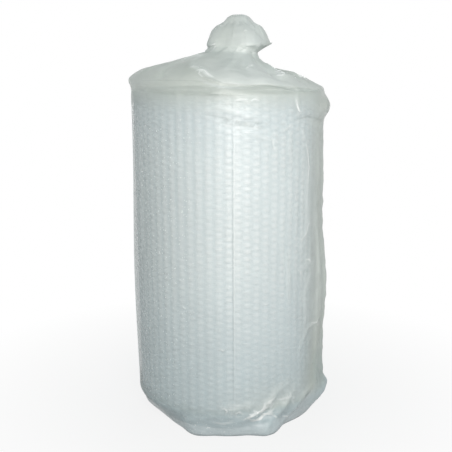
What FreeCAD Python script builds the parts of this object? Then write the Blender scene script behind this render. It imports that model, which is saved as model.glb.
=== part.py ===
import FreeCAD, Part
import math
import os

# A roll of bubble wrap standing on end in a clear poly bag whose top is gathered and knotted.
# Lengths are in millimetres and angles in degrees. The origin is on the floor under the roll's
# axis, +Z is up and -Y is the front. A bearing is measured from the front, and grows to the right.

SIZES = {
    "roll_height": 1200,
    "roll_radius": 346,
    "crush_depth": 50,
    "crush_height": 66,
    "bubble_columns": 64,
    "bubble_rise": 4,
    "free_end_step": 8,
    "free_end_bearing": 3,
    "turn_pitch": 28,
    "turn_gap": 4,
    "eye_radius": 12,
    "film_wall": 2,
    "film_clearance": 1.5,
    "gathered_wall": 9,
    "neck_rise": 136,
    "neck_radius": 88,
    "neck_lean": 17,
    "knot_rise": 22,
    "knot_waist": 84,
    "tuft_rise": 106,
    "tuft_radius": 112,
    "tuft_tip_radius": 8,
    "tuft_lean": 41,
    "pleat_count": 16,
    "pleat_depth": 8,
    "lobe_count": 5,
    "lobe_depth": 7,
    "lobe_bearing": 20,
    "tuft_gather": 0.6,
    "tip_gather": 0.2,
    "drawn_half_angle": 48,
    "shoulder_fullness": 2.25,
    "shoulder_fall": 1.4,
    "tuft_fullness": 1.8,
    "tuft_fall": 0.7,
}

# Where loose film stands away from the roll or the tuft: how far, on which bearing, over what half
# angle, at what level and over what half height. Those in FROM_TOP are measured up from the roll's
# top and the others from the floor.
SLACK_SIZES = ("depth", "bearing", "half_angle", "level", "half_height")
SLACK = {
    "ear": (13, -90, 14, 38, 34),
    "pouch": (24, 84, 40, -55, 62),
    "side_sag": (22, 88, 42, 460, 330),
    "foot_sag": (16, 72, 40, 110, 100),
    "long_fold": (7, 56, 12, 640, 500),
    "front_lap": (12, 28, 62, 62, 34),
    "right_fold": (18, 92, 34, 52, 28),
    "tuft_lip": (7, 96, 34, 158, 30),
}
FROM_TOP = ("ear", "pouch", "front_lap", "right_fold", "tuft_lip")

# Where the film is drawn in over the roll's crushed lower edge: the bearing, and the share of the
# way in to the roll.
DRAWN_SIZES = ("bearing", "share")
DRAWN_IN = {
    "front_left": (-57, 1.0),
    "front_right": (57, 0.7),
    "back_right": (123, 0.8),
    "back_left": (-123, 0.8),
}

# How much fuller the film's left shoulder is than its right one, in the two powers that shape it.
LOPSIDED_FULLNESS = 0.75
LOPSIDED_FALL = 0.6

# Where the film's outlines lie: as shares of the crushed edge, of the side above it, of half the
# pouch, and of the shoulder, the knot and the tuft.
EDGE_SHARES = (0, 0.5, 1)
SIDE_SHARES = (0.12, 0.3, 0.5, 0.72, 1)
POUCH_SHARES = (-0.45, 0.1, 0.6)
SHOULDER_SHARES = (0.12, 0.25, 0.4, 0.55, 0.7, 0.84, 0.94)
KNOT_SHARES = (0, 0.25, 0.5, 0.75, 1)
TUFT_SHARES = (0.2, 0.4, 0.6, 0.8, 0.93, 1)
POINTS_PER_PLEAT = 4

NODES = ("bubble_wrap_roll", "poly_bag")

doc = FreeCAD.newDocument("BubbleWrapRoll")


def make_sheet():
    """The driving sizes, one row each: its name in column A and its value in column B."""
    sheet = doc.addObject("Spreadsheet::Sheet", "Sizes")
    rows = dict(SIZES)
    for places, kinds in ((SLACK, SLACK_SIZES), (DRAWN_IN, DRAWN_SIZES)):
        for place, numbers in places.items():
            for kind, number in zip(kinds, numbers):
                rows[f"{place}_{kind}"] = number
    for row, (name, number) in enumerate(rows.items(), start=1):
        sheet.set(f"A{row}", name)
        sheet.set(f"B{row}", str(number))
        sheet.setAlias(f"B{row}", name)
    doc.recompute()
    return sheet


sheet = make_sheet()


def size(name):
    """The value of one driving size."""
    return float(sheet.get(name))


def on_bearing(radius, bearing, level=0.0):
    """A point at this radius from the axis, on this bearing from the front."""
    turned = math.radians(bearing)
    return FreeCAD.Vector(radius * math.sin(turned), -radius * math.cos(turned), level)


def bump(distance, half_width):
    """A smooth rise from 0 to 1 and back, over twice the half width."""
    if abs(distance) >= half_width:
        return 0.0
    return math.cos(math.pi * distance / half_width / 2) ** 2


def angle_between(first, second):
    """The difference of two bearings, from -180 to 180."""
    return (first - second + 180) % 360 - 180


# The roll: a disc with a ridge for each column of bubbles, cut by the spiral gap of its turns.


def valley_radius(column):
    """The reach of the valley before this column: it grows by one step over the outer turn."""
    step = size("free_end_step")
    return size("roll_radius") - size("bubble_rise") - step * (1 - column / size("bubble_columns"))


def ridged_outline():
    """Arcs round the outer turn, one for each column of bubbles, and the step at the free end."""
    columns = int(size("bubble_columns"))
    start = size("free_end_bearing")
    outline = []
    for column in range(columns):
        ends = [on_bearing(valley_radius(c), start + 360 * c / columns) for c in (column, column + 1)]
        crest = valley_radius(column + 0.5) + size("bubble_rise")
        middle = on_bearing(crest, start + 360 * (column + 0.5) / columns)
        outline.append(Part.Arc(ends[0], middle, ends[1]))
    step_ends = [on_bearing(valley_radius(column), start) for column in (columns, 0)]
    outline.append(Part.LineSegment(*step_ends))
    return outline


def gap_line():
    """Points along the spiral gap, one for each bubble, from the free end in to the roll's eye."""
    pitch = size("turn_pitch")
    column_width = 2 * math.pi * size("roll_radius") / size("bubble_columns")
    reach = valley_radius(0) + size("turn_gap") / 2
    bearing = size("free_end_bearing")
    first_turn = bearing - 360
    points = []
    while reach > size("eye_radius"):
        points.append((reach, bearing))
        turned = min(math.degrees(column_width / reach), 45)
        lead_in = 2 if bearing > first_turn else 1
        bearing -= turned
        reach -= pitch * lead_in * turned / 360
    return points


def gap_outline():
    """Both walls of the spiral gap, straight from one bubble to the next."""
    half_gap = size("turn_gap") / 2
    outer = [on_bearing(reach + half_gap, bearing) for reach, bearing in gap_line()]
    inner = [on_bearing(reach - half_gap, bearing) for reach, bearing in gap_line()]
    corners = outer + inner[::-1]
    return [Part.LineSegment(corners[i - 1], corners[i]) for i in range(len(corners))]


def new_sketch(body, name, plane_role, geometry):
    """A sketch on one of the body's own planes."""
    sketch = body.newObject("Sketcher::SketchObject", name)
    plane = [feature for feature in body.Origin.OriginFeatures if feature.Role == plane_role][0]
    sketch.AttachmentSupport = (plane, [""])
    sketch.MapMode = "FlatFace"
    sketch.addGeometry(geometry, False)
    doc.recompute()
    return sketch


def make_roll():
    """The wound sheet: a coned foot where its edge is crushed, a ridged disc, and the gap."""
    body = doc.addObject("PartDesign::Body", "Roll")
    body.Label = "bubble_wrap_roll"

    crush = size("crush_height")
    corners = [
        FreeCAD.Vector(0, 0, 0),
        FreeCAD.Vector(valley_radius(0) - size("crush_depth"), 0, 0),
        FreeCAD.Vector(valley_radius(0), crush, 0),
        FreeCAD.Vector(0, crush, 0),
    ]
    profile = [Part.LineSegment(corners[i - 1], corners[i]) for i in range(len(corners))]
    foot_sketch = new_sketch(body, "FootProfile", "XZ_Plane", profile)
    foot = body.newObject("PartDesign::Revolution", "CrushedFoot")
    foot.Profile = foot_sketch
    foot.ReferenceAxis = (foot_sketch, ["V_Axis"])
    foot.Angle = 360
    doc.recompute()

    outline = new_sketch(body, "OuterTurn", "XY_Plane", ridged_outline())
    outline.setExpression("AttachmentOffset.Base.z", "Sizes.crush_height")
    disc = body.newObject("PartDesign::Pad", "WoundSheet")
    disc.Profile = outline
    disc.setExpression("Length", "Sizes.roll_height - Sizes.crush_height")
    doc.recompute()
    uncut_volume = disc.Shape.Volume

    gap = body.newObject("PartDesign::Pocket", "GapBetweenTurns")
    gap.Profile = new_sketch(body, "SpiralGap", "XY_Plane", gap_outline())
    gap.Type = 1
    gap.Reversed = True
    doc.recompute()
    if gap.Shape.Volume >= uncut_volume:
        raise RuntimeError("the gap between the turns cut nothing")
    body.Tip = gap
    body.setExpression("Placement.Base.z", "Sizes.film_wall")
    doc.recompute()
    return body


# The bag: one film, from its floor to the tip of its tuft, made of closed curves one above another.


def roll_profile(level):
    """The roll's reach from its axis at this height above the bag's floor."""
    below = 1 - min(max(level, 0.0) / size("crush_height"), 1)
    return size("roll_radius") - size("crush_depth") * below


def drawn_share(bearing):
    """1 where the film follows the roll's crushed edge, and 0 where it hangs straight down."""
    total = 0.0
    for place in DRAWN_IN:
        distance = angle_between(bearing, size(f"{place}_bearing"))
        total += size(f"{place}_share") * bump(distance, size("drawn_half_angle"))
    return total


def slack(bearing, level):
    """How far the loose film stands out from the roll."""
    total = 0.0
    for place in SLACK:
        depth, middle, half_angle, height, half_height = (size(f"{place}_{kind}") for kind in SLACK_SIZES)
        if place in FROM_TOP:
            height += size("roll_height")
        share = bump(angle_between(bearing, middle), half_angle)
        total += depth * share * bump(level - height, half_height)
    return total


def pleat(bearing):
    """The gathers' wave round the neck, uneven from one pleat to the next."""
    turned = math.radians(bearing)
    uneven = 0.75 + 0.25 * math.sin(3 * turned + 1)
    return uneven * math.cos(size("pleat_count") * turned)


def lobe(bearing):
    """The tuft's few large folds."""
    return size("lobe_depth") * math.cos(size("lobe_count") * math.radians(bearing - size("lobe_bearing")))


def side_reach(bearing, level):
    """The film's reach beside the roll, from the floor up to the roll's top."""
    hang = (size("roll_radius") - roll_profile(level)) * (1 - drawn_share(bearing))
    return roll_profile(level) + size("film_clearance") + hang


def shoulder_share(bearing, share):
    """1 at the roll's rim and 0 at the neck: full on the left, and falling away on the right."""
    right = math.sin(math.radians(bearing))
    rounded = 1 - share ** (size("shoulder_fullness") - LOPSIDED_FULLNESS * right)
    return max(rounded, 0.0) ** (size("shoulder_fall") + LOPSIDED_FALL * right)


def blend(first, second, share):
    """A value part of the way from the first to the second."""
    return first + (second - first) * share


def film_outline(stretch, share, in_cavity):
    """The film's closed outline part of the way up one stretch: side, shoulder, knot or tuft."""
    rim = size("roll_height")
    neck_rise = size("neck_rise") - (size("gathered_wall") if in_cavity else 0)
    neck, tuft = size("neck_radius"), size("tuft_radius")
    rise = {
        "side": rim * share,
        "shoulder": rim + neck_rise * share,
        "knot": rim + neck_rise + size("knot_rise") * share,
        "tuft": rim + neck_rise + size("knot_rise") + size("tuft_rise") * share,
    }[stretch]
    tuft_share = max(1 - share ** size("tuft_fullness"), 0.0) ** size("tuft_fall")
    corners = int(size("pleat_count")) * POINTS_PER_PLEAT
    points = []
    for corner in range(corners):
        bearing = 360 * corner / corners
        if stretch == "side":
            reach, lean, gather = side_reach(bearing, rise), 0.0, 0.0
        elif stretch == "shoulder":
            spread = shoulder_share(bearing, share)
            reach = blend(neck, side_reach(bearing, rim), spread)
            lean, gather = size("neck_lean") * (1 - spread), (1 - spread) ** 0.6
        elif stretch == "knot":
            reach = blend(neck, tuft, share ** 2) - (neck - size("knot_waist")) * bump(share - 0.5, 0.5)
            reach += lobe(bearing) * share
            lean = blend(size("neck_lean"), size("tuft_lean"), share)
            gather = blend(1.0, size("tuft_gather"), share)
        else:
            reach = blend(size("tuft_tip_radius"), tuft, tuft_share) + lobe(bearing) * tuft_share
            lean, gather = size("tuft_lean"), blend(size("tip_gather"), size("tuft_gather"), tuft_share)
        reach += slack(bearing, rise)
        fold = size("pleat_depth") * gather * (-1 if in_cavity else pleat(bearing))
        height = rise
        if stretch == "shoulder":
            height += fold * spread ** 0.5
            fold *= 1 - spread
        reach += fold + (0 if in_cavity else size("film_wall"))
        points.append(on_bearing(reach, bearing, height + size("film_wall")) + FreeCAD.Vector(lean, 0, 0))
    return points


def side_shares():
    """Heights of the film's outlines beside the roll, as shares of the roll's height."""
    height, crush = size("roll_height"), size("crush_height")
    pouch, pouch_half = height + size("pouch_level"), size("pouch_half_height")
    levels = [crush * share for share in EDGE_SHARES]
    levels += [blend(crush, pouch - pouch_half, share) for share in SIDE_SHARES]
    levels += [pouch + pouch_half * share for share in POUCH_SHARES]
    return [level / height for level in levels if level < height] + [1]


def folded_film(outlines):
    """A closed solid through these outlines: a flat floor, and flat facets between each and the next."""
    last = outlines[-1]
    top = sum(last, FreeCAD.Vector()) / len(last)
    facets = [outlines[0]]
    for corner in range(len(last)):
        before = corner - 1
        for lower, upper in zip(outlines, outlines[1:]):
            facets.append([lower[before], lower[corner], upper[corner]])
            facets.append([lower[before], upper[corner], upper[before]])
        facets.append([last[before], last[corner], top])
    faces = [Part.Face(Part.makePolygon(facet + facet[:1])) for facet in facets]
    return Part.makeSolid(Part.makeShell(faces))


def film_solid(name, in_cavity):
    """The film's outside, from the floor to the tuft's tip, or the room in it for the roll."""
    curves = [("side", share) for share in side_shares()]
    curves += [("shoulder", share) for share in SHOULDER_SHARES]
    if not in_cavity:
        curves += [("knot", share) for share in KNOT_SHARES]
        curves += [("tuft", share) for share in TUFT_SHARES]
    outlines = [film_outline(stretch, share, in_cavity) for stretch, share in curves]
    if not in_cavity:
        lowering = FreeCAD.Vector(0, 0, -size("film_wall"))
        outlines.insert(0, [point + lowering for point in outlines[0]])
    film = doc.addObject("Part::Feature", name)
    film.Shape = folded_film(outlines)
    return film


def make_bag():
    """The film: one solid from its floor to the tip of its tuft, less the room for the roll."""
    bag = doc.addObject("Part::Cut", "Bag")
    bag.Label = "poly_bag"
    bag.Base = film_solid("FilmOutside", False)
    bag.Tool = film_solid("FilmCavity", True)
    doc.recompute()
    return bag


def check_and_write():
    """Stop at a failed object or a shape that isn't sound, and write each piece's file."""
    for thing in doc.Objects:
        if "Invalid" in thing.State or "Error" in thing.State:
            raise RuntimeError(f"{thing.Label} failed: {thing.State}")
    os.makedirs("parts", exist_ok=True)
    for name in NODES:
        shape = doc.getObjectsByLabel(name)[0].Shape
        if shape.isNull() or not shape.isValid() or len(shape.Solids) != 1:
            raise RuntimeError(f"{name} isn't one sound solid")
        print(name, "volume in litres", round(shape.Volume / 1e6, 3), "box", shape.BoundBox)
        shape.exportStep(os.path.join("parts", f"{name}.step"))


make_roll()
make_bag()
check_and_write()
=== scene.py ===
from math import pi, radians

import bmesh
import bpy
import numpy as np
from mathutils import Matrix, Vector


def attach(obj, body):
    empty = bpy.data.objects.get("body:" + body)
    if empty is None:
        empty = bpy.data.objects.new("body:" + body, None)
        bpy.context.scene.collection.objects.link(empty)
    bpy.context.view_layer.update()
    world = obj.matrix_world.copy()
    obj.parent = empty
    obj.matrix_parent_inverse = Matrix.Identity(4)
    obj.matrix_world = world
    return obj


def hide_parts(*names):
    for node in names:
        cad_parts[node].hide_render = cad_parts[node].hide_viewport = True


# A roll of bubble wrap standing on end in a clear poly bag whose top is gathered and knotted.
# Lengths are in metres. A bearing is in degrees from the front, -Y, and grows to the right, +X.

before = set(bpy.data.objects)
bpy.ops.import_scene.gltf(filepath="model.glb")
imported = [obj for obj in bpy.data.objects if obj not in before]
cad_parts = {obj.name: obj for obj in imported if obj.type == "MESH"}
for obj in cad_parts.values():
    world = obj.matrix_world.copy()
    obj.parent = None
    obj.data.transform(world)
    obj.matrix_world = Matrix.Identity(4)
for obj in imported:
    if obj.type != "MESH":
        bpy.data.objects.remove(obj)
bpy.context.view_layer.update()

# The camera comes first: the photograph is taken from chest height, a little above the roll.
eye = bpy.data.objects.new("Photo_Eye", bpy.data.cameras.new("Photo_Eye"))
bpy.context.collection.objects.link(eye)
eye.data.lens = 61.96
eye.data.sensor_width = 36
eye.location = (0, -2.88, 1.3596)
turned_left = Matrix.Rotation(radians(0.147), 3, "Z")
looking_down = Matrix.Rotation(radians(90 - 13.09), 3, "X")
held_askew = Matrix.Rotation(radians(-0.32), 3, "Z")
eye.rotation_euler = (turned_left @ looking_down @ held_askew).to_euler()
bpy.context.scene.camera = eye

# The sizes that the CAD source gives, in metres.
ROLL_HEIGHT, ROLL_RADIUS = 1.2, 0.346
CRUSH_DEPTH, CRUSH_HEIGHT = 0.05, 0.066
BUBBLE_COLUMNS, BUBBLE_RISE = 64, 0.004
FREE_END_STEP, FREE_END_BEARING = 0.008, 3
TURN_PITCH = 0.028
FILM_WALL, FILM_CLEARANCE = 0.002, 0.0015
NECK_RISE, NECK_RADIUS, NECK_LEAN = 0.136, 0.088, 0.017
KNOT_RISE, KNOT_WAIST = 0.022, 0.084
TUFT_RISE, TUFT_RADIUS, TUFT_TIP_RADIUS, TUFT_LEAN = 0.106, 0.112, 0.008, 0.041
PLEAT_COUNT, PLEAT_DEPTH = 16, 0.008
LOBE_COUNT, LOBE_DEPTH, LOBE_BEARING = 5, 0.007, 20
TUFT_GATHER, TIP_GATHER = 0.6, 0.2
DRAWN_HALF_ANGLE = 48
DRAWN_IN = ((-57, 1.0), (57, 0.7), (123, 0.8), (-123, 0.8))
# Depth, bearing, half angle, level and half height of each place where the film stands away.
SLACK = (
    (0.013, -90, 14, 1.238, 0.034),
    (0.024, 84, 40, 1.145, 0.062),
    (0.022, 88, 42, 0.46, 0.33),
    (0.016, 72, 40, 0.11, 0.1),
    (0.007, 56, 12, 0.64, 0.5),
    (0.012, 28, 62, 1.262, 0.034),
    (0.018, 92, 34, 1.252, 0.028),
    (0.007, 96, 34, 1.358, 0.03),
)
# The same for the finished film alone: its square-cut foot, and its fuller left side.
FULLER = (
    (0.018, -20, 13, 0.0, 0.07),
    (0.030, 24, 15, 0.0, 0.07),
    (0.018, 58, 26, 0.0, 0.08),
    (0.034, 84, 30, 0.05, 0.075),
    (0.013, 84, 36, 0.2, 0.13),
    (0.010, -92, 36, 0.5, 0.55),
)


def blend(first, second, share):
    """A value part of the way from the first to the second."""
    return first + (second - first) * share


def bump(distance, half_width):
    """A smooth rise from 0 to 1 and back, over twice the half width."""
    inside = np.abs(distance) < half_width
    return np.where(inside, np.cos(pi * distance / half_width / 2) ** 2, 0.0)


def ramp(value, low, high):
    """0 below low, 1 above high, and smooth between."""
    share = np.clip((value - low) / (high - low), 0, 1)
    return share * share * (3 - 2 * share)


def angle_between(first, second):
    """The difference of two bearings, from -180 to 180."""
    return (first - second + 180) % 360 - 180


def around(bearing, middle, half_angle):
    """1 on the middle bearing, and falling smoothly to 0 on both sides of it."""
    return bump(angle_between(bearing, middle), half_angle)


def laid_out(reach, bearing, height, lean=0.0):
    """Points at these reaches from the axis, on these bearings and heights."""
    turned = np.radians(bearing)
    return np.stack([reach * np.sin(turned) + lean, -reach * np.cos(turned), height], axis=-1)


def facing(places):
    """The outward direction at each point of a closed tube of points, rows from the floor up."""
    round_it = np.roll(places, -1, axis=1) - np.roll(places, 1, axis=1)
    upward = np.gradient(places, axis=0)
    out = np.cross(round_it, upward)
    return out / np.maximum(np.linalg.norm(out, axis=-1, keepdims=True), 1e-9)


def folded_tube(name, places, marks, heights):
    """A grid of quads wrapped round the axis: each corner goes to its place, and takes its marks.

    Its UV map runs once round, and up by heights, one for each row."""
    rows, columns = places.shape[0] - 1, places.shape[1]
    sheet = bmesh.new()
    bmesh.ops.create_grid(sheet, x_segments=columns, y_segments=rows, size=0.5)
    flat = sheet.loops.layers.uv.new("Wrapped")
    for face in sheet.faces:
        for loop in face.loops:
            row = round((loop.vert.co.y + 0.5) * rows)
            loop[flat].uv = (loop.vert.co.x + 0.5, heights[row])
    layers = {mark: sheet.verts.layers.float.new(mark) for mark in marks}
    for corner in sheet.verts:
        row = round((corner.co.y + 0.5) * rows)
        column = round((corner.co.x + 0.5) * columns) % columns
        corner.co = places[row, column]
        for mark, layer in layers.items():
            corner[layer] = marks[mark][row, column]
    bmesh.ops.remove_doubles(sheet, verts=sheet.verts, dist=1e-6)
    bmesh.ops.dissolve_degenerate(sheet, edges=sheet.edges, dist=1e-7)
    bmesh.ops.recalc_face_normals(sheet, faces=sheet.faces)
    for face in sheet.faces:
        face.smooth = True
    mesh = bpy.data.meshes.new(name)
    sheet.to_mesh(mesh)
    sheet.free()
    piece = bpy.data.objects.new(name, mesh)
    bpy.context.collection.objects.link(piece)
    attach(piece, "root")
    return piece


# The roll of bubble wrap.

BUBBLE_ROWS = 50
# Points for each bubble, and rings of points on the roll's top and its underside.
STEPS_ACROSS, STEPS_UP = 6, 4
TOP_RINGS, UNDER_RINGS = 48, 3
# Half a bubble's width and height as shares of its cell, and its rise as a share of its column's.
HALF_WIDTH, HALF_HEIGHT, DOME_SHARE = 0.43, 0.45, 0.75
# The valleys between the turns on the roll's top, and how far from its ends the bubbles lie flat.
VALLEY_DEPTH, FLAT_EDGE = 0.011, 0.006
# The height at which the UV maps end.
UV_HEIGHT = 2.0


def roll_profile(level):
    """The roll's reach from its axis at this height above the bag's floor."""
    below = 1 - np.clip(level / CRUSH_HEIGHT, 0, 1)
    return ROLL_RADIUS - CRUSH_DEPTH * below


def make_roll():
    """One sheet wound on itself: a crushed foot, staggered bubbles, and its turns on the ends."""
    across = np.arange(BUBBLE_COLUMNS * STEPS_ACROSS + 1) / STEPS_ACROSS
    bearing = FREE_END_BEARING + 360 * across / BUBBLE_COLUMNS
    outer_turn = BUBBLE_RISE + FREE_END_STEP * (1 - across / BUBBLE_COLUMNS)

    up = np.arange(BUBBLE_ROWS * STEPS_UP + 1) / STEPS_UP
    level = up * ROLL_HEIGHT / BUBBLE_ROWS
    sideways = (across[None, :] % 1) - 0.5
    column = np.floor(across)[None, :]
    raised = up[:, None] + 0.5 * (column % 2)
    upward = (raised % 1) - 0.5
    # Some bubbles hold less air than others, in no plain order.
    filled = 0.8 + 0.2 * np.sin(column * 12.9898 + np.floor(raised) * 78.233) ** 2
    dome = np.clip(1 - (sideways / HALF_WIDTH) ** 2 - (upward / HALF_HEIGHT) ** 2, 0, 1) ** 0.8 * filled
    dome *= np.clip(np.minimum(level, ROLL_HEIGHT - level) / FLAT_EDGE, 0, 1)[:, None]
    reach = roll_profile(level)[:, None] - outer_turn[None, :] + BUBBLE_RISE * DOME_SHARE * dome
    places = laid_out(reach, bearing[None, :], FILM_WALL + level[:, None] + 0 * reach)

    inward = np.linspace(1, 0, TOP_RINGS + 1)[1:, None]
    end_reach = inward * (ROLL_RADIUS - outer_turn)[None, :]
    wound = (end_reach / TURN_PITCH + bearing[None, :] / 360) % 1
    valley = VALLEY_DEPTH * np.abs(np.cos(pi * wound)) ** 5
    valley = valley * ramp(inward, 0, 0.06) * ramp(inward, 1.0, 0.97)
    top = laid_out(end_reach, bearing[None, :], FILM_WALL + ROLL_HEIGHT - valley)
    under_reach = np.linspace(0, 1, UNDER_RINGS + 1)[:-1, None] * reach[:1]
    underside = laid_out(under_reach, bearing[None, :], FILM_WALL + 0 * under_reach)

    places = np.concatenate([underside, places, top])
    # The dome mark is also high on the free end's edge, and on the columns at the left and the back,
    # where they show more than the single bubbles.
    edge = np.maximum(0.0, 1 - across * 1.5) * (0.6 + 0.4 * np.cos(2 * pi * up))[:, None]
    lined = np.maximum(0.8 * around(bearing, -52, 66), 0.5 * around(bearing, -165, 110))
    upright = (1 - (2 * sideways) ** 2) * lined[None, :]
    dome = np.concatenate([0 * under_reach, np.maximum(np.maximum(dome, edge), upright), 0 * end_reach])
    # Painted shade: the foot is darker and bluer than the rest, and the top a little.
    shade = np.maximum(ramp(places[..., 2], 0.72, 0.03), 0.35 * ramp(places[..., 2], 0.95, 1.15))
    heights = np.concatenate([np.full(UNDER_RINGS, 0.0), level, np.full(TOP_RINGS, ROLL_HEIGHT)]) / UV_HEIGHT
    return folded_tube("wound_bubble_wrap", places, {"dome": dome, "shade": shade}, heights)


# The film of the bag.

FILM_COLUMNS = 384
FLOOR_ROWS, SIDE_ROWS, SHOULDER_ROWS, KNOT_ROWS, TUFT_ROWS = 6, 124, 62, 16, 40


def drawn_share(bearing):
    """1 where the film follows the roll's crushed edge, and 0 where it hangs straight down."""
    return sum(share * around(bearing, middle, DRAWN_HALF_ANGLE) for middle, share in DRAWN_IN)


def slack(bearing, level):
    """How far the loose film stands out from the roll."""
    total = 0.0
    for depth, middle, half_angle, height, half_height in SLACK + FULLER:
        total = total + depth * around(bearing, middle, half_angle) * bump(level - height, half_height)
    return total


def pleat(bearing):
    """The gathers' wave round the neck, uneven from one pleat to the next."""
    turned = np.radians(bearing)
    return (0.75 + 0.25 * np.sin(3 * turned + 1)) * np.cos(PLEAT_COUNT * turned)


def side_reach(bearing, level):
    """The film's reach beside the roll, from the floor up to the roll's top."""
    hang = (ROLL_RADIUS - roll_profile(level)) * (1 - drawn_share(bearing))
    return roll_profile(level) + FILM_CLEARANCE + hang


def shoulder_share(bearing, share):
    """1 at the roll's rim and 0 at the neck: full on the left, and falling away on the right."""
    right = np.sin(np.radians(bearing))
    return np.maximum(1 - share ** (2.25 - 0.75 * right), 0) ** (1.4 + 0.6 * right)


def tuft_share(along):
    """1 where the tuft is widest, at its lower end, and 0 at its tip."""
    return np.maximum(1 - np.clip(along - 4, 0, 1) ** 1.8, 0) ** 0.7


def gathers(along):
    """How deep the gathers are on the knot and the tuft, as a share of the neck's."""
    on_knot = blend(1, TUFT_GATHER, np.clip(along - 3, 0, 1))
    return np.where(along < 4, on_knot, blend(TIP_GATHER, TUFT_GATHER, tuft_share(along)))


def smooth_film(along, bearing):
    """The film's place before its creases.

    along is 0 to 1 on the floor, 1 to 2 on the side, and so on over shoulder, knot and tuft to 5."""
    stretch = np.minimum(np.floor(along), 4)
    share = along - stretch
    floor, shoulder = stretch == 0, stretch == 2

    def by_stretch(*values):
        """Of five values, for floor, side, shoulder, knot and tuft, the one that belongs to each point."""
        return np.select([stretch == number for number in range(4)], values[:4], values[4])

    rim_reach = side_reach(bearing, ROLL_HEIGHT + 0 * bearing)
    spread = shoulder_share(bearing, np.clip(share, 0, 1))
    lobe = LOBE_DEPTH * np.cos(LOBE_COUNT * np.radians(bearing - LOBE_BEARING))
    level = by_stretch(
        0,
        ROLL_HEIGHT * share,
        ROLL_HEIGHT + NECK_RISE * share,
        ROLL_HEIGHT + NECK_RISE + KNOT_RISE * share,
        ROLL_HEIGHT + NECK_RISE + KNOT_RISE + TUFT_RISE * share,
    )
    waist = blend(NECK_RADIUS, TUFT_RADIUS, share**2) - (NECK_RADIUS - KNOT_WAIST) * bump(share - 0.5, 0.5)
    reach = by_stretch(
        side_reach(bearing, level),
        side_reach(bearing, level),
        blend(NECK_RADIUS, rim_reach, spread),
        waist + lobe * share,
        blend(TUFT_TIP_RADIUS, TUFT_RADIUS, tuft_share(along)) + lobe * tuft_share(along),
    )
    lean = by_stretch(0, 0, NECK_LEAN * (1 - spread), blend(NECK_LEAN, TUFT_LEAN, share), TUFT_LEAN)
    gather = by_stretch(0, 0, (1 - spread) ** 0.6, gathers(along), gathers(along))
    fold = PLEAT_DEPTH * gather * pleat(bearing)
    height = level + np.where(shoulder, fold * spread**0.5, 0)
    reach = reach + slack(bearing, level) + FILM_WALL + fold * np.where(shoulder, 1 - spread, 1)
    reach = np.where(floor, reach * share, reach)
    return laid_out(reach, bearing, height + np.where(floor, 0, FILM_WALL), lean)


def crumple(places, lengths, seed):
    """Flat facets that meet in sharp creases, as thin film makes: folded waves in several directions."""
    chance = np.random.default_rng(seed)
    total = np.zeros(places.shape[:-1])
    swayed = places + 0.012 * np.sin(places[..., [2, 0, 1]] * 37 + seed)
    for length in lengths:
        way = chance.normal(size=3)
        way /= np.linalg.norm(way)
        wave = swayed @ way / length + chance.random()
        total += length * (np.abs((wave % 1) - 0.5) * 2 - 0.5)
    return total / sum(lengths)


# Where the front lap's lower edge lies: film folded down from the neck over the roll's front rim.
LAP_EDGE = (
    (-44, 2.97), (-30, 2.692), (-21.8, 2.558), (-15.5, 2.446), (-9, 2.337), (-3, 2.246), (4, 2.233),
    (15.5, 2.233), (28, 2.192), (41.8, 2.121), (64.8, 2.033), (84, 1.985),
)

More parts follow.
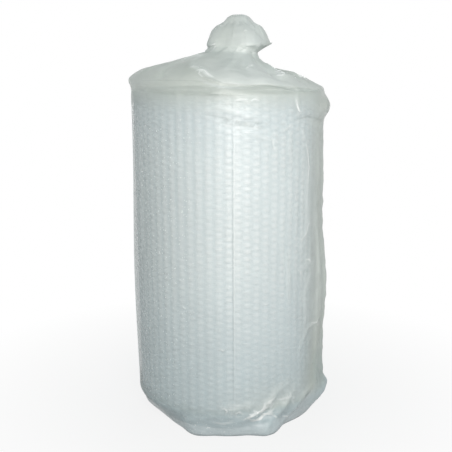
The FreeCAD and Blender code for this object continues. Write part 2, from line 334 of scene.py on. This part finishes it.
# The sharper creases: how far each stands out, its half width, and its line as bearing and along.
CREASES = (
    # Drag lines just under the front rim.
    (-0.004, 0.008, ((-10.2, 1.946), (-0.2, 1.942), (13.8, 1.923), (18, 1.926))),
    (-0.004, 0.008, ((-5.5, 1.929), (-0.2, 1.919), (13.8, 1.911), (21, 1.906))),
    (0.004, 0.010, ((-14, 1.958), (-3, 1.962), (10, 1.944), (24, 1.938))),
    (0.003, 0.008, ((8, 1.897), (20, 1.886), (30, 1.87))),
    (0.003, 0.007, ((24, 1.90), (33, 1.872), (41, 1.83))),
    (0.004, 0.007, ((33, 1.93), (37, 1.885), (36, 1.84), (40, 1.80))),
    # The pouch at the top right, and the folds that run down from it.
    (0.008, 0.012, ((41, 1.995), (42, 1.979), (43.5, 1.948), (47, 1.93))),
    (-0.007, 0.012, ((40, 1.925), (48.8, 1.927), (60, 1.912), (72, 1.902), (90, 1.897))),
    (0.006, 0.010, ((45, 1.91), (47, 1.885), (52, 1.86))),
    (0.009, 0.018, (
        (49, 1.89), (51, 1.827), (52.2, 1.762), (51, 1.69), (52.5, 1.615), (47.5, 1.577), (49, 1.52),
    )),
    (0.006, 0.012, ((54.8, 1.53), (54, 1.508), (49, 1.49), (47.2, 1.485), (48, 1.44))),
    (0.007, 0.014, ((60, 1.50), (53.2, 1.454), (50, 1.40), (52, 1.34), (50, 1.28))),
    (0.007, 0.010, ((70, 1.31), (67, 1.30), (54.8, 1.30), (50, 1.27), (46, 1.22))),
    (0.004, 0.010, ((35, 1.55), (35, 1.521), (36.8, 1.471), (36, 1.40))),
    (0.010, 0.022, ((64, 1.88), (66, 1.76), (63, 1.62), (67, 1.48), (64, 1.36), (66, 1.2), (62, 1.09))),
    (0.011, 0.024, ((80, 1.90), (77, 1.74), (81, 1.6), (78, 1.42), (82, 1.26), (78, 1.1))),
    (0.009, 0.022, ((97, 1.88), (94, 1.7), (98, 1.5), (95, 1.3), (99, 1.1))),
    (0.008, 0.022, ((114, 1.9), (112, 1.66), (116, 1.4), (112, 1.15))),
    (0.006, 0.02, ((150, 1.92), (147, 1.6), (151, 1.25), (146, 1.06))),
    (0.006, 0.02, ((-158, 1.93), (-160, 1.5), (-156, 1.1))),
    (0.004, 0.012, ((-62, 1.86), (-60, 1.7), (-63, 1.5))),
    # The shiny folds at the bottom right.
    (0.010, 0.013, ((4, 1.05), (10, 1.054), (19.8, 1.069), (25, 1.102), (29, 1.13), (38, 1.15))),
    (-0.006, 0.012, ((10, 1.035), (20, 1.048), (28, 1.08), (36, 1.11))),
    (0.008, 0.011, ((14.8, 1.02), (25, 1.04), (34, 1.07), (42, 1.12))),
    (0.007, 0.010, ((-4, 1.092), (2, 1.085), (6.5, 1.09), (14, 1.10))),
    (0.008, 0.012, ((34, 1.01), (42, 1.05), (52, 1.09), (62, 1.11))),
    (0.006, 0.010, ((20, 1.005), (23, 1.03), (31, 1.045))),
    (0.005, 0.010, ((-30, 1.03), (-22, 1.05), (-12, 1.055))),
    # Folds that fan out from the neck.
    (0.007, 0.012, ((-36, 2.93), (-28, 2.72), (-24.2, 2.629), (-19.2, 2.6), (-14, 2.5), (-9.8, 2.421))),
    (0.006, 0.012, ((4, 2.95), (2, 2.8), (-2, 2.6))),
    (0.008, 0.014, ((24, 2.96), (18, 2.8), (16, 2.642), (19, 2.5))),
    (-0.007, 0.012, ((36, 2.96), (30, 2.8), (30, 2.6), (36, 2.44))),
    (0.008, 0.013, ((50, 2.9), (44, 2.7), (36, 2.46), (38.2, 2.396), (58.2, 2.375))),
    (0.007, 0.014, ((76, 2.9), (72, 2.6), (66, 2.4), (60, 2.2))),
    (0.006, 0.014, ((-70, 2.95), (-64, 2.7), (-66, 2.45))),
    (-0.005, 0.014, ((-52, 2.93), (-46, 2.6), (-40, 2.35))),
    (0.006, 0.014, ((-108, 2.95), (-112, 2.6), (-104, 2.3))),
    (0.007, 0.015, ((-150, 2.95), (-146, 2.6), (-152, 2.25))),
    (0.007, 0.015, ((172, 2.95), (178, 2.6), (170, 2.3))),
    (0.007, 0.015, ((136, 2.95), (140, 2.6), (132, 2.25))),
    (0.006, 0.015, ((104, 2.95), (108, 2.6), (112, 2.3))),
    # The tuft's bigger folds.
    (0.010, 0.012, ((-58, 3.9), (-49, 4.0), (-40.8, 4.062), (-38.2, 3.75), (-24, 3.1))),
    (-0.012, 0.014, ((26, 4.02), (30.8, 4.219), (38, 4.5), (45.2, 4.775))),
    (0.012, 0.016, ((52, 3.95), (56, 4.3), (60, 4.6))),
    (-0.010, 0.014, ((-72, 4.1), (-66, 4.4), (-60, 4.8))),
    (-0.010, 0.014, ((110, 4.05), (118, 4.4), (112, 4.75))),
    (0.010, 0.016, ((150, 4.0), (156, 4.4), (148, 4.8))),
    (-0.010, 0.014, ((-150, 4.05), (-144, 4.4), (-150, 4.75))),
    (0.010, 0.016, ((-112, 4.0), (-106, 4.4), (-112, 4.7))),
)


# Fine fold lines of painted light and shade: 1 is a painted glint and -1 a painted crease shadow, along a
# line as bearing and along.
PAINTED_FOLD_LINES = (
    # Painted crease shadows: the front lap's lower edge, and the drag lines and the roll's rim under it.
    (-0.5, (
        (-24, 2.60), (-14, 2.429), (-8.5, 2.358), (-3, 2.267), (1.2, 2.24),
        (12.8, 2.25), (29, 2.17), (44.5, 2.05), (60, 2.0),
    )),
    (-0.45, ((-12, 1.948), (-2.8, 1.940), (6.8, 1.927), (17.8, 1.923), (24, 1.926))),
    (-0.35, ((-6, 1.930), (4, 1.921), (13.8, 1.915), (22, 1.908))),
    (-0.3, ((-58, 2.30), (-51.8, 2.304), (-38, 2.342), (-24.8, 2.333), (-14, 2.325), (-8, 2.30))),
    (-0.4, ((40, 1.925), (42.8, 1.929), (50.5, 1.933), (63.5, 1.921), (78, 1.905))),
    # Painted glints on the neck's front and the right shoulder.
    (0.8, ((-26, 2.62), (-22, 2.635), (-17, 2.633))),
    (1.0, ((-20.5, 2.535), (-18, 2.55), (-15.2, 2.542), (-12, 2.47), (-8, 2.39))),
    (0.8, ((-19, 2.53), (-17, 2.48), (-14.5, 2.42))),
    (0.8, ((13, 2.615), (16, 2.64), (21, 2.665))),
    (0.9, ((35, 2.435), (37.5, 2.41), (40.5, 2.385))),
    (0.7, ((36.5, 2.49), (40, 2.485), (44, 2.455))),
    (0.8, ((63, 2.40), (59, 2.36), (55, 2.335))),
    # Painted glints on the pouch, and on the folds under it.
    (1.0, ((40.4, 1.985), (41.6, 1.965), (42.8, 1.952), (46, 1.946))),
    (0.6, ((3.5, 1.984), (7, 1.989), (11, 1.988))),
    (0.6, ((12.5, 1.984), (15, 1.988), (17.5, 1.985))),
    (0.6, ((32.5, 1.898), (34.2, 1.904), (37.5, 1.916))),
    (0.6, ((24.6, 1.89), (25.4, 1.87), (26.4, 1.848))),
    (1.0, ((49.8, 1.86), (52, 1.825), (52.6, 1.785), (51.8, 1.74))),
    (0.7, ((53, 1.63), (51.5, 1.60), (46.5, 1.572))),
    (0.8, ((50.5, 1.515), (53.5, 1.512), (57, 1.493))),
    (0.5, ((42.6, 1.503), (46.5, 1.48), (50.8, 1.45))),
    (0.7, ((68.5, 1.31), (64, 1.298), (59, 1.303), (53, 1.292))),
    # Painted glints on the bright folds at the foot.
    (1.0, ((8, 1.050), (12, 1.060), (16.8, 1.071), (22, 1.078), (28, 1.092))),
    (1.0, ((12, 1.046), (16, 1.046), (19.2, 1.046), (23, 1.058), (28, 1.072))),
    (0.9, ((18, 1.062), (22, 1.058), (27, 1.056))),
    (0.8, ((-5.5, 1.082), (-2.5, 1.091), (-1, 1.08), (-2.5, 1.066))),
    (0.7, ((0.5, 1.074), (3, 1.068), (6, 1.077), (8.5, 1.066))),
    (0.9, ((14, 1.078), (18, 1.068), (21, 1.083), (21.5, 1.099))),
    (0.8, ((21.8, 1.094), (25, 1.097), (26.5, 1.086), (25, 1.073))),
    (0.7, ((23.5, 1.101), (26, 1.105), (28.5, 1.113))),
    (0.6, ((29, 1.101), (33, 1.094), (38, 1.097), (43.5, 1.088))),
    (0.6, ((38.6, 1.113), (39.6, 1.096), (41, 1.08), (42.6, 1.066))),
    (0.7, ((25, 1.062), (27, 1.052), (29.4, 1.041))),
    (0.6, ((34, 1.037), (38, 1.031), (43, 1.03))),
    (0.4, ((-10, 1.044), (-4, 1.040), (3, 1.046))),
    # Small painted glints higher up.
    (0.6, ((-28, 1.398), (-25.6, 1.39), (-23.6, 1.394))),
    (0.6, ((-5.6, 1.276), (-3, 1.27), (-0.8, 1.279))),
    # A painted light line along the sheet's free end, seen through the film.
    (0.45, ((3.2, 1.93), (3, 1.6), (3.1, 1.3), (3, 1.06))),
    # Painted glints low on the tuft.
    (0.9, ((-54, 3.8), (-46, 4.0), (-38, 4.06))),
    (0.9, ((-34.5, 2.985), (-36.5, 3.3), (-39, 3.9))),
    (0.5, ((8, 4.37), (12, 4.41), (17, 4.425))),
)

# How far the neck and the tuft sag to the front, at each place along the film.
SAG = (
    (2.2, 0), (2.5, 0.016), (2.8, 0.042), (3.0, 0.052),
    (3.5, 0.041), (4.0, 0.017), (4.25, 0.007), (4.6, 0),
)

# The unit of the mark that says how far the nearest fold line is, and the distance that is looked over.
LINE_UNIT, LINE_REACH = 0.02, 0.05


def unfolded(along, bearing):
    """A place on the film as lengths across and up, as if it were laid out flat."""
    heights = np.interp(along, (0, 1, 2, 3, 4, 5), (-0.35, 0, ROLL_HEIGHT, 1.49, 1.52, 1.68))
    widths = np.interp(along, (1, 2, 3, 4, 5), (0.35, 0.35, 0.12, 0.12, 0.06))
    return np.stack([np.radians(bearing) * widths, heights], axis=-1)


def from_line(line, along, bearing):
    """How far the film is from a line on it, above it counting as positive, and the line's share there."""
    ends = np.array(line, dtype=float)
    nearest = np.full(along.shape, 9.0)
    side, share = np.ones(along.shape), np.zeros(along.shape)
    middle = ends[:, 0].mean()
    spots = unfolded(along, middle + angle_between(bearing, middle))
    corners = unfolded(ends[:, 1], ends[:, 0])
    for number, (start, end) in enumerate(zip(corners, corners[1:])):
        way = end - start
        part = np.clip(((spots - start) @ way) / (way @ way), 0, 1)
        away = spots - start - part[..., None] * way
        far = np.hypot(away[..., 0], away[..., 1])
        closer = far < nearest
        nearest = np.where(closer, far, nearest)
        side = np.where(closer, np.sign(way[0] * away[..., 1] - way[1] * away[..., 0]), side)
        share = np.where(closer, (number + part) / (len(corners) - 1), share)
    return nearest * side, share


def painted_line_marks(along, bearing):
    """How far the film is from the nearest fold line, in units, and the painted light of the line there,
    below 0 where it is painted shade.
    """
    fold, painted_glint_and_shade = np.ones(along.shape), np.zeros(along.shape)
    nearest = np.full(along.shape, LINE_REACH)
    for strength, line in PAINTED_FOLD_LINES:
        away, share = from_line(line, along, bearing)
        closer = np.abs(away) < nearest
        near = strength * ramp(np.abs(away), 0.024, 0.012) * np.sin(pi * share) ** 0.5
        fold = np.where(closer, np.clip(away / LINE_UNIT, -1, 1), fold)
        painted_glint_and_shade = np.where(closer, near, painted_glint_and_shade)
        nearest = np.where(closer, np.abs(away), nearest)
    return fold, painted_glint_and_shade


def film_grid():
    """How far along the film and on which bearing each of its points lies, rows from the floor up."""
    counts = (FLOOR_ROWS, SIDE_ROWS, SHOULDER_ROWS, KNOT_ROWS)
    rows = [stretch + np.linspace(0, 1, count + 1)[:-1] for stretch, count in enumerate(counts)]
    rows.append(4 + np.linspace(0, 1, TUFT_ROWS + 1) ** 0.8)
    bearing = np.arange(FILM_COLUMNS) * 360 / FILM_COLUMNS - 180
    return np.broadcast_arrays(np.concatenate(rows)[:, None], bearing[None, :])


def film_zones(along, bearing):
    """From 0 to 1: the side, the loose film on it, the loose foot, and all that is above the rim."""
    on_side = ramp(along, 1.0, 1.06) * ramp(along, 2.0, 1.96)
    loose_right = around(bearing, 88, 62)
    loose_foot = around(bearing, 30, 50) * ramp(along, 1.2, 1.05) * ramp(along, 1.0, 1.02)
    return on_side, loose_right, loose_foot, ramp(along, 1.955, 2.06)


def crumpled_by(places, small, along, bearing):
    """How far the film's crumple, its softer gathers and its lower shoulders move it outwards."""
    on_side, loose_right, loose_foot, above = film_zones(along, bearing)
    right_above = 0.5 + 0.5 * np.sin(np.radians(bearing - 10))
    tuft = ramp(along, 2.85, 3.2) * ramp(along, 5.0, 4.9)
    large = crumple(places, (0.26, 0.18, 0.13), 8)
    fine = crumple(places, (0.06, 0.042, 0.03), 5)
    shiny_foot = around(bearing, 22, 26) * bump(along - 1.06, 0.055)
    push = loose_right * on_side * (0.009 * small + 0.008 * large) + loose_foot * 0.010 * small
    push = push + 0.022 * fine * shiny_foot + 0.006 * fine * loose_right * on_side
    push = push + above * ramp(along, 3.0, 2.8) * (0.3 + 0.7 * right_above) * (0.010 * small + 0.012 * large)
    push = push + 0.006 * small * bump(along - 2.03, 0.1)
    # The gathers are softer than the solid's.
    smoother = 0.5 * ramp(along, 2.4, 2.9) + 0.42 * ramp(along, 2.9, 3.1)
    push = push - smoother * PLEAT_DEPTH * gathers(along) * pleat(bearing)
    push = push + tuft * (0.006 * small + 0.022 * large)
    # The shoulders fall away from the neck a little sooner, and the tuft's tip is narrower.
    push = push - 0.015 * around(bearing, -90, 75) * bump(along - 2.8, 0.34)
    push = push - 0.021 * around(bearing, 82, 58) * bump(along - 2.68, 0.34)
    return push - 0.008 * bump(along - 4.78, 0.2)


def creased_by(push, along, bearing):
    """The same with the sharper creases added, and how close each point is to a crease."""
    creased = np.zeros(along.shape)
    on_side = film_zones(along, bearing)[0]
    calm_side = 1 - 0.5 * on_side * around(bearing, 66, 50) * ramp(along, 1.1, 1.2)
    quieter = blend(1, 0.3, ramp(along, 2.5, 2.9)) * calm_side
    for depth, half_width, line in CREASES:
        away, share = from_line(line, along, bearing)
        taper = np.sin(pi * np.clip(share, 0.04, 0.96)) ** 0.5
        sharp = np.clip(1 - np.abs(away) / (2 * half_width), 0, 1) ** 1.7 * taper
        push = push + depth * sharp * quieter
        creased = np.maximum(creased, sharp)
    return push, creased


def lap_over(away, share):
    """1 on the front lap, just above its lower edge, and 0 off it."""
    lap = ramp(away, -0.006, 0.008) * ramp(away, 0.11, 0.01) * ramp(share, 0.08, 0.3) * ramp(share, 1, 0.9)
    return lap * (np.abs(away) < 0.2)


def film_marks(small, creased, away, share, along, bearing):
    """How hazy and how pressed on the bubbles the film is; how much milkier, with painted light and painted
    shade in it; and where it has painted shade at the foot. away and share are the lap edge's.
    """
    on_side, loose_right, loose_foot, above = film_zones(along, bearing)
    loose = ramp(loose_right, 0.22, 0.8) * on_side
    foot = ramp(along, 1.095, 1.05)
    rim = ramp(along, 1.93, 2.02)
    low = ramp(along, 1.35, 1.08)
    drape = above * around(bearing, 28, 95) * ramp(away, -0.003, 0.004)
    gathered = ramp(along, 2.75, 3.0)

    haze = 0.38 + 0.38 * loose + 0.34 * rim * (1 - loose) + 0.25 * creased
    haze = haze + np.maximum(0.3 * loose_foot, 0.28 * foot)
    haze = haze + 0.12 * drape + 0.1 * gathered * ramp(along, 4.2, 3.8)
    haze = haze + 0.28 * around(bearing, -95, 34) * (1 - above)
    haze = np.clip(np.where(along < 1, 0.7, haze + 0.08 * small * (1 - above)), 0, 0.92)

    # The bubbles show through most on the left and the back, and at the foot.
    press = (1 - loose) * (1 - ramp(along, 1.9, 2.0)) * ramp(along, 0.99, 1.01) * (1 - loose_foot)
    pressed = np.maximum(0.85 * around(bearing, -62, 70), 0.75 * around(bearing, -168, 105))
    press = press * (0.15 + np.maximum(pressed, 0.6 * foot))

    # Milkier where the film is loose or in layers above the rim, and darker on the right shoulder; painted
    # shade also darkens it low down and at the foot, and painted light lightens the drape, the neck and the
    # tuft.
    milky_light_and_shade = np.clip(rim + 0.75 * loose + 0.8 * foot, 0, 1) - np.maximum(0.6 * drape, 0.35 * gathered)
    milky_light_and_shade = milky_light_and_shade + np.maximum(0.35 * foot, 0.8 * loose * low) + 0.4 * loose_foot + 0.15 * low * (1 - loose)
    milky_light_and_shade = milky_light_and_shade + 0.25 * above * (1 - gathered) * around(bearing, 75, 70)
    # A thin band of painted light lies just under the lap's edge.
    milky_light_and_shade = milky_light_and_shade - 0.5 * (away < 0) * bump(away + 0.018, 0.014) * bump(share - 0.45, 0.3)
    return {"haze": haze, "press": press, "milky_light_and_shade": np.clip(milky_light_and_shade / 1.5, 0, 1), "cool_foot_shade": foot}


def make_bag():
    """The film round the roll, gathered over it: smooth where it is tight, creased where it is loose."""
    along, bearing = film_grid()
    places = smooth_film(along, bearing)
    places[-1] = places[-1].mean(axis=0)
    hang = around(bearing, -5, 95) * np.interp(along, *zip(*SAG))
    places = places + laid_out(hang, bearing, 0 * hang)

    small = crumple(places, (0.11, 0.07, 0.05, 0.034, 0.026), 3)
    push, creased = creased_by(crumpled_by(places, small, along, bearing), along, bearing)
    away, share = from_line(LAP_EDGE, along, bearing)
    push = push + 0.003 * lap_over(away, share)
    places = places + facing(places) * push[..., None]

    marks = film_marks(small, creased, away, share, along, bearing)
    marks["fold"], marks["painted_glint_and_shade"] = painted_line_marks(along, bearing)
    heights = np.clip(unfolded(along, bearing)[:, 0, 1], 0, UV_HEIGHT) / UV_HEIGHT
    return folded_tube("gathered_poly_bag", places, marks, heights)


# The finishes. A function whose first argument is tree adds nodes to that tree; it takes and gives
# nodes' outputs.

WHITE = (1, 1, 1)
# Bubble wrap between its bubbles and on them, and the painted shade of its foot.
BETWEEN_BUBBLES, ON_BUBBLES, FOOT_SHADE = (0.69, 0.785, 0.81), (0.91, 0.95, 0.955), (0.70, 0.77, 0.81)
# The bag's film: tight, loose, and in many layers; its painted shade at the foot; and its painted glints and
# painted crease shadows on the fold lines.
TIGHT_FILM, LOOSE_FILM, LAYERED_FILM = (0.80, 0.85, 0.85), (0.63, 0.675, 0.625), (0.49, 0.57, 0.54)
COOL_PAINTED_SHADE, PAINTED_GLINT, PAINTED_CREASE_SHADE = (0.56, 0.65, 0.675), (0.96, 0.98, 0.97), (0.36, 0.40, 0.37)


def feed(entry, value):
    """Give an input another node's output, or else a plain value."""
    if isinstance(value, bpy.types.NodeSocket):
        entry.id_data.links.new(value, entry)
    else:
        entry.default_value = value


def node(tree, kind, *inputs, **settings):
    """A new node: settings are its own properties, or inputs by name, and the other inputs go in order."""
    made = tree.nodes.new("ShaderNode" + kind)
    for key, value in settings.items():
        if hasattr(made, key):
            setattr(made, key, value)
        else:
            feed(made.inputs[key], value)
    for entry, value in zip(made.inputs, inputs):
        feed(entry, value)
    return made


def maths(tree, operation, *terms, **settings):
    """A sum, a product or the like of these terms."""
    return node(tree, "Math", *terms, operation=operation, **settings).outputs[0]


def mark(tree, name):
    """One of the marks that the mesh carries on its vertices."""
    return node(tree, "Attribute", attribute_name=name).outputs["Fac"]


def noise_on(tree, scale, detail, stretch=(1, 1, 1), rough=0.5, kind="FBM", slant=0):
    """Noise on the object's own coordinates, stretched along its axes, or slanted up to its right."""
    place = node(tree, "TexCoord").outputs["Object"]
    turned = node(tree, "Mapping", place, Rotation=(0, radians(slant), 0), Scale=stretch).outputs["Vector"]
    noise = node(
        tree, "TexNoise", noise_type=kind, Vector=turned, Scale=scale, Detail=detail, Roughness=rough
    )
    return noise.outputs["Fac"]


def raise_by(tree, height, strength, distance, **under):
    """A bump, over the one that is given as its Normal."""
    return node(tree, "Bump", Strength=strength, Distance=distance, Height=height, **under).outputs["Normal"]


def tint_by(tree, factor, low, high, ends=(0, 1), middle=None):
    """A colour between low and high, by a factor between its two ends, perhaps through a middle one."""
    tint = node(tree, "ValToRGB", factor)
    for stop, position, colour in zip(tint.color_ramp.elements, ends, (low, high)):
        stop.position = position
        stop.color = (*colour, 1)
    if middle:
        position, colour = middle
        tint.color_ramp.elements.new(position).color = (*colour, 1)
    return tint.outputs["Color"]


def multiplied(tree, colour, factor, share):
    """A colour darkened by a factor, by this share."""
    mix = node(tree, "Mix", data_type="RGBA", blend_type="MULTIPLY", Factor=share, A=colour, B=factor)
    return mix.outputs["Result"]


def toward(tree, colour, goal, factor):
    """A colour changed towards another by a factor."""
    mix = node(tree, "Mix", data_type="RGBA", Factor=factor, A=colour, B=(*goal, 1))
    return mix.outputs["Result"]


def bubble_lattice(tree):
    """High over each bubble and each column of bubbles: every second column is half a row up."""
    place = node(tree, "SeparateXYZ", node(tree, "TexCoord").outputs["UV"])
    rows = BUBBLE_ROWS * UV_HEIGHT / ROLL_HEIGHT
    waves = []
    for axis, turns, start in (("X", BUBBLE_COLUMNS / 2, 0.517), ("Y", rows, 0.5)):
        angle = maths(tree, "MULTIPLY_ADD", place.outputs[axis], turns * 2 * pi, -start * 2 * pi)
        waves.append(maths(tree, "COSINE", angle))
    bubbles = maths(tree, "MULTIPLY", waves[0], waves[1])
    columns = maths(tree, "MULTIPLY", waves[0], waves[0])
    return maths(tree, "ADD", bubbles, columns)


def painted_fold_line(tree):
    """The painted light and painted shade of the fold lines, from -1 to 1 and about 7 mm wide, and 0
    elsewhere; and a round ridge on each.
    """
    away = maths(tree, "ABSOLUTE", mark(tree, "fold"))
    close = maths(tree, "MULTIPLY_ADD", away, -8, 1.9, use_clamp=True)
    squared = maths(tree, "POWER", away, 2)
    rounded = maths(tree, "MULTIPLY_ADD", squared, -14, 1, use_clamp=True)
    painted_glint_and_shade = mark(tree, "painted_glint_and_shade")
    return [maths(tree, "MULTIPLY", height, painted_glint_and_shade) for height in (close, rounded)]


def new_finish(name):
    """A material, and the tree of its nodes."""
    finish = bpy.data.materials.new(name)
    finish.use_nodes = True
    return finish, finish.node_tree


def fill_shader(tree, entries):
    """Give the main shader its inputs."""
    for name, value in entries.items():
        feed(tree.nodes["Principled BSDF"].inputs[name], value)


def bubble_film():
    """Bubble wrap many turns deep: pale grey blue, glossy on each bubble and duller between them."""
    finish, tree = new_finish("Bubble_Wrap_Turns")
    tint = tint_by(tree, mark(tree, "dome"), BETWEEN_BUBBLES, ON_BUBBLES, (0.0, 0.9))
    mottled = multiplied(tree, tint, noise_on(tree, 6, 3), 0.12)
    # Fine upright lines, where bubbles of the turns below show through.
    lined = multiplied(tree, mottled, noise_on(tree, 9, 2, (14, 14, 1.4), 0.7), 0.22)
    # Painted shade, darker and bluer at the foot and a little at the top.
    shade = tint_by(tree, mark(tree, "shade"), WHITE, FOOT_SHADE)
    fill_shader(tree, {
        "Base Color": multiplied(tree, lined, shade, 1),
        "Roughness": 0.46,
        "Specular IOR Level": 0.9,
        "Coat Weight": 1,
        "Coat Roughness": 0.42,
        "Normal": raise_by(tree, noise_on(tree, 150, 4, (1, 1, 2.2), 0.6), 0.5, 0.003),
    })
    return finish


def bag_film():
    """Thin clear polythene: it shows what is under it where it is tight, and whitens where it is folded."""
    finish, tree = new_finish("Bag_Film")
    haze, milky_light_and_shade, press = (mark(tree, name) for name in ("haze", "milky_light_and_shade", "press"))
    # Light passes hazy film more easily than the eye makes out what is behind it.
    shadow_ray = node(tree, "LightPath").outputs["Is Shadow Ray"]
    solid = maths(tree, "MULTIPLY", haze, maths(tree, "MULTIPLY_ADD", shadow_ray, -0.6, 1))
    tint = tint_by(tree, milky_light_and_shade, TIGHT_FILM, LAYERED_FILM, middle=(0.65, LOOSE_FILM))
    # Painted shade: the film is darker and bluer at the foot.
    foot_shaded = toward(tree, tint, COOL_PAINTED_SHADE, mark(tree, "cool_foot_shade"))
    cloudy = multiplied(tree, foot_shaded, noise_on(tree, 7, 4), 0.14)

    # Painted light and shade: painted glints and painted crease shadows on the fine fold lines, and painted
    # sparkles on tiny puckers that catch the light.
    line, rounded = painted_fold_line(tree)
    painted_speck_noise = tint_by(tree, noise_on(tree, 190, 0), (0, 0, 0), WHITE, (0.72, 0.79))
    painted_sparkle = maths(tree, "MULTIPLY", painted_speck_noise, press)
    light = maths(tree, "MAXIMUM", line, painted_sparkle)
    dark = maths(tree, "MULTIPLY", line, -1, use_clamp=True)
    with_painted_lines = toward(tree, toward(tree, cloudy, PAINTED_GLINT, light), PAINTED_CREASE_SHADE, dark)
    drawn = maths(tree, "MULTIPLY", maths(tree, "ABSOLUTE", line), 0.9, use_clamp=True)
    cover = maths(tree, "MAXIMUM", solid, maths(tree, "MAXIMUM", drawn, painted_sparkle))
    # Folded film is duller than tight film, but it is glossier under its painted glints.
    duller = maths(tree, "MULTIPLY_ADD", haze, 0.42, 0.07)
    sharp = node(tree, "Mix", data_type="FLOAT", Factor=light, A=duller, B=0.2)

    # Bumps, each over the last: bubbles pressed into the film, slanting streaks, and fine crinkles.
    lattice = maths(tree, "MULTIPLY", bubble_lattice(tree), press)
    pressed = raise_by(tree, lattice, 0.5, 0.0014)
    streaks = raise_by(tree, noise_on(tree, 16, 5, (1, 1, 6), 0.6, slant=5), 0.36, 0.006, Normal=pressed)
    crinkles = raise_by(tree, noise_on(tree, 110, 6, (1, 1, 1.5), 0.65), 0.35, 0.003, Normal=streaks)
    # Where the film is loose it is crumpled: long ridges on its side, and shorter ones above.
    ridges = noise_on(tree, 5.5, 3, (1, 1, 0.55), 0.5, "RIDGED_MULTIFRACTAL")
    crumpled = raise_by(tree, maths(tree, "MULTIPLY", ridges, milky_light_and_shade), 0.6, 0.007, Normal=crinkles)
    fill_shader(tree, {
        "Base Color": with_painted_lines,
        "Alpha": cover,
        "Roughness": sharp.outputs["Result"],
        "Specular IOR Level": 0.8,
        "Normal": raise_by(tree, rounded, 0.5, 0.003, Normal=crumpled),
    })
    return finish


roll = make_roll()
roll.data.materials.append(bubble_film())
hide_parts("bubble_wrap_roll")

bag = make_bag()
bag.data.materials.append(bag_film())
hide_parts("poly_bag")

# The floor, the room and the lamps.


def seen_white(tree, lit, white):
    """A lit shader, but plain white for what the eye, a gloss or a clear film sees directly."""
    ray = node(tree, "LightPath").outputs
    seen = maths(tree, "MAXIMUM", ray["Is Camera Ray"], ray["Is Glossy Ray"])
    seen = maths(tree, "MAXIMUM", seen, ray["Is Transmission Ray"])
    return node(tree, "MixShader", seen, lit.outputs[0], white.outputs[0])


def make_floor():
    """A wide pale floor that keeps the bag's soft shadow."""
    plan = bmesh.new()
    bmesh.ops.create_grid(plan, x_segments=1, y_segments=1, size=9)
    bmesh.ops.translate(plan, verts=plan.verts, vec=(0, 0, -0.001))
    mesh = bpy.data.meshes.new("Pale_Floor")
    plan.to_mesh(mesh)
    plan.free()
    floor = bpy.data.objects.new("Pale_Floor", mesh)
    bpy.context.collection.objects.link(floor)
    paint, tree = new_finish("Pale_Floor")
    tree.nodes.clear()
    lit = node(tree, "BsdfDiffuse", Color=(0.47, 0.48, 0.48, 1))
    glow = node(tree, "Emission", Color=(*WHITE, 1))
    # The shadow fades out round the bag.
    away = node(tree, "VectorMath", node(tree, "TexCoord").outputs["Object"], operation="LENGTH")
    fade = node(tree, "MapRange", away.outputs["Value"], 0.4, 1.3, 0.86)
    shadowed = node(tree, "MixShader", fade.outputs["Result"], lit.outputs[0], glow.outputs[0])
    node(tree, "OutputMaterial", seen_white(tree, lit, shadowed).outputs[0])
    mesh.materials.append(paint)


def make_room():
    """A pale room: white to the eye, and a gentler grey as light."""
    room = bpy.data.worlds.new("Pale_Room")
    bpy.context.scene.world = room
    room.use_nodes = True
    tree = room.node_tree
    tree.nodes.clear()
    soft = node(tree, "Background", (0.83, 1, 1, 1), 0.35)
    white = node(tree, "Background", (*WHITE, 1))
    node(tree, "OutputWorld", seen_white(tree, soft, white).outputs[0])


def hang_lamp(name, place, aim, size, watts, tint=WHITE):
    """A soft lamp, as wide and high as its size says, that faces its aim."""
    lamp = bpy.data.lights.new(name, "AREA")
    lamp.shape = "RECTANGLE"
    lamp.size, lamp.size_y = size
    lamp.energy = watts
    lamp.color = tint
    lamp_object = bpy.data.objects.new(name, lamp)
    bpy.context.collection.objects.link(lamp_object)
    lamp_object.location = place
    lamp_object.rotation_euler = (Vector(place) - Vector(aim)).to_track_quat("Z", "Y").to_euler()
    lamp_object.visible_camera = False


WARM, PINK = (1, 0.97, 0.955), (1, 0.92, 0.88)
make_floor()
make_room()
hang_lamp("Front_Lamp", (0.65, -2.6, 2.2), (0, 0, 0.95), (0.9, 0.9), 41, WARM)
hang_lamp("Strip_Lamp", (0.42, -2.7, 0.98), (0, 0, 0.98), (0.2, 1.4), 18, PINK)
hang_lamp("Left_Lamp", (-2.8, 0.9, 1.8), (0, 0, 0.8), (1.6, 1.6), 7)
hang_lamp("Back_Lamp", (0.2, 3.2, 1.4), (0, 0, 0.8), (1.2, 1.2), 32)
bpy.context.scene.view_settings.view_transform = "Standard"
